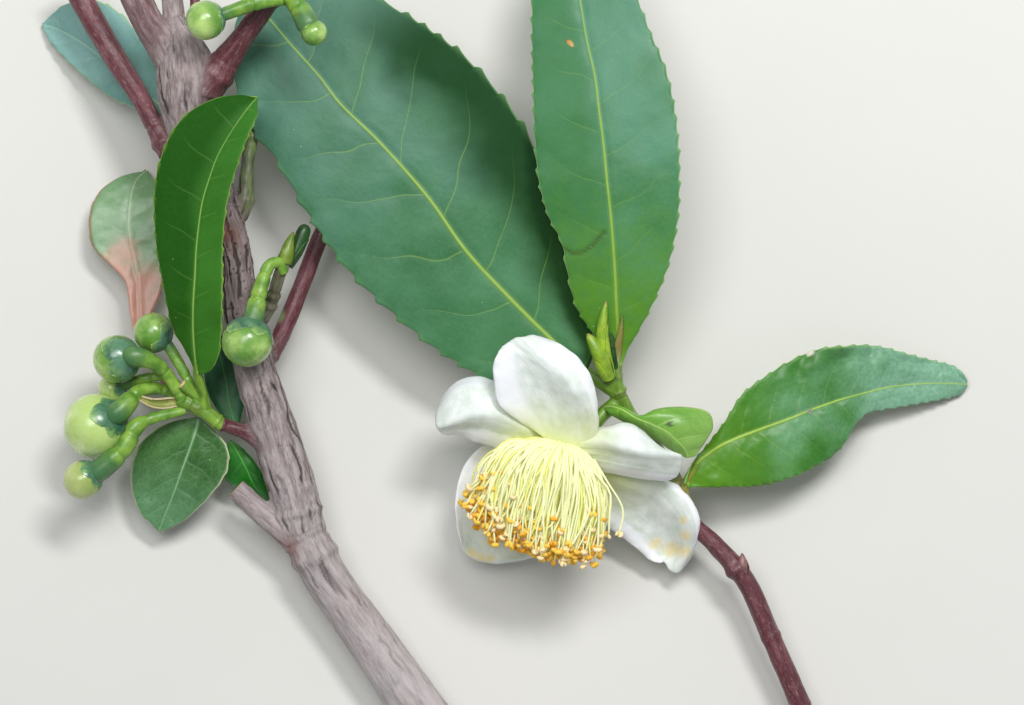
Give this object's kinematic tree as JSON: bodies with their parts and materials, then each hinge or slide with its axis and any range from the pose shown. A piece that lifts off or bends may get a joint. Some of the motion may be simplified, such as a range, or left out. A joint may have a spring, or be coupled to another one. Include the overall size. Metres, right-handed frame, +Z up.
{
  "type": "flowering tea branch",
  "caption": "Cut flowering branch of a tea bush lying flat: pruned woody stem, toothed leathery leaves, round green buds on curved stalks and a nodding white flower with yellow stamens.",
  "frame": {"origin": "centre of the bounding box on the surface that the branch lies on", "axes": "+Z up from that surface, +Y along the branch from its cut end towards the twigs' tips, +X to the flower's side"},
  "size_m": [0.1292, 0.158, 0.0287],
  "materials": {
    "bark": "matte furrowed bark",
    "red_twig": "smooth young bark",
    "green_stem": "satin",
    "bud": "satin",
    "leaf": "glossy leathery",
    "pale_leaf": "satin",
    "young_leaf": "satin",
    "petal": "soft satin",
    "stamens": "matte"
  },
  "bodies": {
    "root": {"stem_lower": "bark", "stem_upper": "bark", "pruned_stub": "bark", "twig_left": "red_twig", "twig_dark": "bark", "twig_brown": "bark", "twig_pink": "red_twig", "twig_right": "red_twig", "purple_twig": "red_twig", "green_shoot": "green_stem", "bud_twig_base": "red_twig", "bud_twig_tip": "green_stem", "bract": "green_stem", "cut_green_stub": "green_stem", "side_shoot": "green_stem", "side_shoot_tip": "green_stem", "folded_bud": "green_stem", "shoot_base": "red_twig", "shoot_lower": "red_twig", "shoot_upper": "green_stem", "tip_bud_tall": "green_stem", "tip_bud_stout": "green_stem", "tip_bud_dark": "green_stem", "pedicel": "green_stem", "bud_cluster_1": "bud", "bud_cluster_2": "bud", "bud_cluster_3": "bud", "bud_cluster_4": "bud", "bud_cluster_5": "bud", "bud_single": "bud", "top_bud_right": "bud", "top_bud_left": "bud", "receptacle": "green_stem", "petiole_front": "green_stem", "petiole_broad": "green_stem", "petiole_wavy": "green_stem", "leaf_front": "leaf", "leaf_broad": "leaf", "leaf_pale": "pale_leaf", "leaf_upright": "leaf", "leaf_wavy": "leaf", "leaf_small": "young_leaf", "leaf_netted": "leaf", "leaf_glossy": "leaf", "leaf_faded": "pale_leaf", "leaf_shaded": "leaf", "petal_top": "petal", "petal_left": "petal", "petal_lower": "petal", "petal_right": "petal", "petal_hanging": "petal", "stamens": "stamens"}
  },
  "joints": []
}
